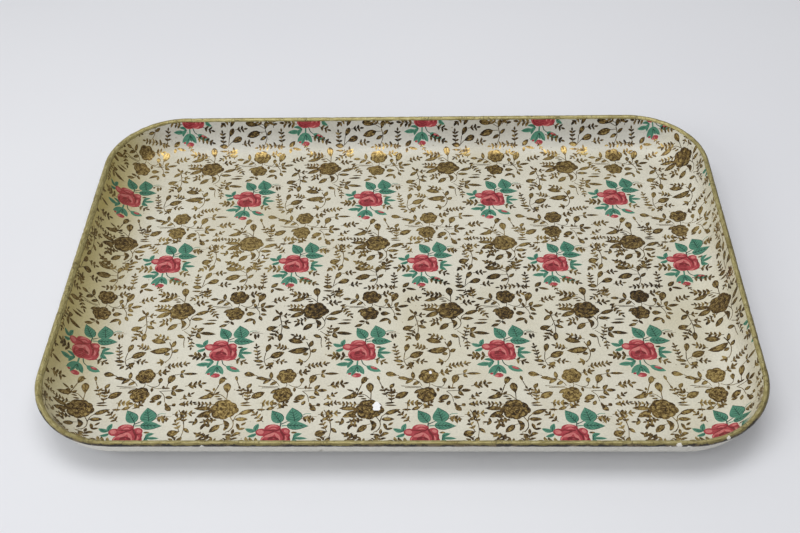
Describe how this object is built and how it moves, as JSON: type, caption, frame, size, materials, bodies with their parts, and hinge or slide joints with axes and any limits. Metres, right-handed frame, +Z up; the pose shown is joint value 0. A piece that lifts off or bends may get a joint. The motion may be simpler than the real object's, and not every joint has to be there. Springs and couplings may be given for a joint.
{
  "type": "serving tray",
  "caption": "Shallow rectangular papier-mache serving tray with rounded corners, a coved wall, a beaded gilt edge and a floral printed paper lining.",
  "frame": {"origin": "centre of the underside, on the surface that the tray rests on", "axes": "+X along the tray's length, +Y to its back long side, +Z up out of the well"},
  "size_m": [0.3774, 0.2654, 0.0226],
  "materials": {
    "moulded_paper": "matte grey-brown moulded paper pulp",
    "printed_paper": "cream paper with a bronze, red and green floral print under lacquer",
    "gilding": "brushed-on antique gold paint, satin, worn dark along its outer edge",
    "plain_paper": "off-white paper, matte with a thin varnish"
  },
  "bodies": {
    "root": {"moulded_body": "moulded_paper", "printed_liner": "printed_paper", "rim_gilding": "gilding", "outer_wall_paper": "plain_paper", "base_paper": "plain_paper"}
  },
  "joints": []
}
